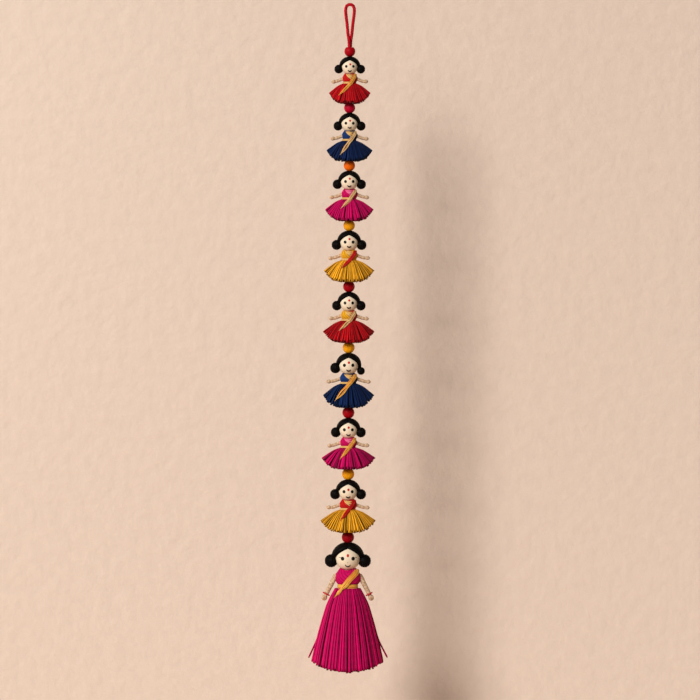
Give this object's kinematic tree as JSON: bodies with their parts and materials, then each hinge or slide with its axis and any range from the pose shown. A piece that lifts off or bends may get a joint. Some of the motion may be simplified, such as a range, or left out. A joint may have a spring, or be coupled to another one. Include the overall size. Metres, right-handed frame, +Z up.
{
  "type": "jute doll",
  "caption": "Hanging string of handmade jute dolls in yarn skirts and sashes under wooden beads, on a red cord loop.",
  "frame": {"origin": "inside top of the hanging loop, where a nail or hook carries the string", "axes": "+Z up along the string, -Y the way the dolls face, +X the viewer's right"},
  "size_m": [0.0965, 0.0636, 0.8021],
  "materials": {
    "cord_red": "twisted cord, matt",
    "bead_red": "dyed wood, satin",
    "bead_rose": "dyed wood, satin",
    "bead_orange": "dyed wood, satin",
    "bead_gold": "dyed wood, satin",
    "bead_dark_red": "dyed wood, satin",
    "hair_black": "black fibre combed smooth, low sheen",
    "face_wood": "pale wood, matt",
    "jute_natural": "wound natural jute",
    "bangle_red": "gloss red ring",
    "yarn_red": "dyed jute yarn",
    "yarn_navy": "dyed jute yarn",
    "yarn_magenta": "dyed jute yarn",
    "yarn_marigold": "dyed jute yarn",
    "yarn_scarlet": "dyed jute yarn",
    "yarn_blue": "dyed jute yarn",
    "yarn_yellow": "dyed jute yarn",
    "jute_gold": "flat jute ribbon with a slight sheen",
    "jute_tan": "flat jute ribbon with a slight sheen",
    "jute_red": "flat jute ribbon with a slight sheen"
  },
  "bodies": {
    "string_top": {"hanging_loop": "cord_red", "inner_cord": "cord_red"},
    "link_1": {"bead_1": "bead_red"},
    "doll_1": {"doll_1_hair": "hair_black", "doll_1_head_and_arms": "face_wood", "doll_1_bodice": "yarn_scarlet", "doll_1_sash": "jute_gold", "doll_1_skirt": "yarn_red"},
    "link_2": {"bead_2": "bead_rose"},
    "doll_2": {"doll_2_hair": "hair_black", "doll_2_head_and_arms": "face_wood", "doll_2_bodice": "yarn_blue", "doll_2_sash": "jute_tan", "doll_2_skirt": "yarn_navy"},
    "link_3": {"bead_3": "bead_orange"},
    "doll_3": {"doll_3_hair": "hair_black", "doll_3_head_and_arms": "face_wood", "doll_3_bodice": "yarn_magenta", "doll_3_sash": "jute_tan", "doll_3_skirt": "yarn_magenta"},
    "link_4": {"bead_4": "bead_gold"},
    "doll_4": {"doll_4_hair": "hair_black", "doll_4_head_and_arms": "face_wood", "doll_4_bodice": "yarn_yellow", "doll_4_sash": "jute_red", "doll_4_skirt": "yarn_marigold"},
    "link_5": {"bead_5": "bead_red"},
    "doll_5": {"doll_5_hair": "hair_black", "doll_5_head_and_arms": "face_wood", "doll_5_bodice": "yarn_yellow", "doll_5_sash": "jute_tan", "doll_5_skirt": "yarn_red"},
    "link_6": {"bead_6": "bead_gold"},
    "doll_6": {"doll_6_hair": "hair_black", "doll_6_head_and_arms": "face_wood", "doll_6_bodice": "yarn_blue", "doll_6_sash": "jute_gold", "doll_6_skirt": "yarn_navy"},
    "link_7": {"bead_7": "bead_red"},
    "doll_7": {"doll_7_hair": "hair_black", "doll_7_head_and_arms": "face_wood", "doll_7_bodice": "yarn_magenta", "doll_7_sash": "jute_gold", "doll_7_skirt": "yarn_magenta"},
    "link_8": {"bead_8": "bead_gold"},
    "doll_8": {"doll_8_hair": "hair_black", "doll_8_head_and_arms": "face_wood", "doll_8_bodice": "yarn_scarlet", "doll_8_sash": "jute_red", "doll_8_skirt": "yarn_marigold"},
    "link_9": {"bead_9": "bead_dark_red"},
    "doll_9": {"doll_9_hair": "hair_black", "doll_9_head": "face_wood", "doll_9_bodice": "yarn_magenta", "doll_9_sash": "jute_gold", "doll_9_skirt": "yarn_magenta"},
    "left_arm": {"doll_9_left_arm": "jute_natural"},
    "left_bangle": {"doll_9_left_bangle": "bangle_red"},
    "right_arm": {"doll_9_right_arm": "jute_natural"},
    "right_bangle": {"doll_9_right_bangle": "bangle_red"}
  },
  "joints": [
    {"name": "string_bend_1", "type": "hinge", "parent": "string_top", "child": "link_1", "pos_m": [0, 0, -0.0499], "axis": [0, 1, 0], "range_deg": [-15, 15], "deforming": ["inner_cord"]},
    {"name": "doll_1_turn", "type": "hinge", "parent": "link_1", "child": "doll_1", "pos_m": [0, 0, -0.07248], "axis": [0, 0, 1], "continuous": true},
    {"name": "string_bend_2", "type": "hinge", "parent": "link_1", "child": "link_2", "pos_m": [0, 0, -0.11543], "axis": [1, 0, 0], "range_deg": [-15, 15], "deforming": ["inner_cord"]},
    {"name": "doll_2_turn", "type": "hinge", "parent": "link_2", "child": "doll_2", "pos_m": [0, 0, -0.14064], "axis": [0, 0, 1], "continuous": true},
    {"name": "string_bend_3", "type": "hinge", "parent": "link_2", "child": "link_3", "pos_m": [0, 0, -0.18459], "axis": [0, -1, 0], "range_deg": [-15, 15], "deforming": ["inner_cord"]},
    {"name": "doll_3_turn", "type": "hinge", "parent": "link_3", "child": "doll_3", "pos_m": [0, 0, -0.21048], "axis": [0, 0, 1], "continuous": true},
    {"name": "string_bend_4", "type": "hinge", "parent": "link_3", "child": "link_4", "pos_m": [0, 0, -0.25633], "axis": [-1, 0, 0], "range_deg": [-15, 15], "deforming": ["inner_cord"]},
    {"name": "doll_4_turn", "type": "hinge", "parent": "link_4", "child": "doll_4", "pos_m": [0, 0, -0.28303], "axis": [0, 0, 1], "continuous": true},
    {"name": "string_bend_5", "type": "hinge", "parent": "link_4", "child": "link_5", "pos_m": [0, 0, -0.32958], "axis": [0, 1, 0], "range_deg": [-15, 15], "deforming": ["inner_cord"]},
    {"name": "doll_5_turn", "type": "hinge", "parent": "link_5", "child": "doll_5", "pos_m": [0, 0, -0.356], "axis": [0, 0, 1], "continuous": true},
    {"name": "string_bend_6", "type": "hinge", "parent": "link_5", "child": "link_6", "pos_m": [0, 0, -0.40265], "axis": [1, 0, 0], "range_deg": [-15, 15], "deforming": ["inner_cord"]},
    {"name": "doll_6_turn", "type": "hinge", "parent": "link_6", "child": "doll_6", "pos_m": [0, 0, -0.43054], "axis": [0, 0, 1], "continuous": true},
    {"name": "string_bend_7", "type": "hinge", "parent": "link_6", "child": "link_7", "pos_m": [0, 0, -0.48054], "axis": [0, -1, 0], "range_deg": [-15, 15], "deforming": ["inner_cord"]},
    {"name": "doll_7_turn", "type": "hinge", "parent": "link_7", "child": "doll_7", "pos_m": [0, 0, -0.50791], "axis": [0, 0, 1], "continuous": true},
    {"name": "string_bend_8", "type": "hinge", "parent": "link_7", "child": "link_8", "pos_m": [0, 0, -0.55411], "axis": [-1, 0, 0], "range_deg": [-15, 15], "deforming": ["inner_cord"]},
    {"name": "doll_8_turn", "type": "hinge", "parent": "link_8", "child": "doll_8", "pos_m": [0, 0, -0.58204], "axis": [0, 0, 1], "continuous": true},
    {"name": "string_bend_9", "type": "hinge", "parent": "link_8", "child": "link_9", "pos_m": [0, 0, -0.62994], "axis": [0, 1, 0], "range_deg": [-15, 15], "deforming": ["inner_cord"]},
    {"name": "doll_9_turn", "type": "hinge", "parent": "link_9", "child": "doll_9", "pos_m": [0, 0, -0.66174], "axis": [0, 0, 1], "continuous": true},
    {"name": "left_arm_swing", "type": "hinge", "parent": "doll_9", "child": "left_arm", "pos_m": [0.01479, 0, -0.68405], "axis": [0, -1, 0], "range_deg": [0, 80]},
    {"name": "left_bangle_turn", "type": "hinge", "parent": "left_arm", "child": "left_bangle", "pos_m": [0.02573, 0, -0.70552], "axis": [0.454, 0, -0.891], "continuous": true},
    {"name": "right_arm_swing", "type": "hinge", "parent": "doll_9", "child": "right_arm", "pos_m": [-0.01479, 0, -0.68405], "axis": [0, 1, 0], "range_deg": [0, 80]},
    {"name": "right_bangle_turn", "type": "hinge", "parent": "right_arm", "child": "right_bangle", "pos_m": [-0.02573, 0, -0.70552], "axis": [-0.454, 0, -0.891], "continuous": true}
  ]
}
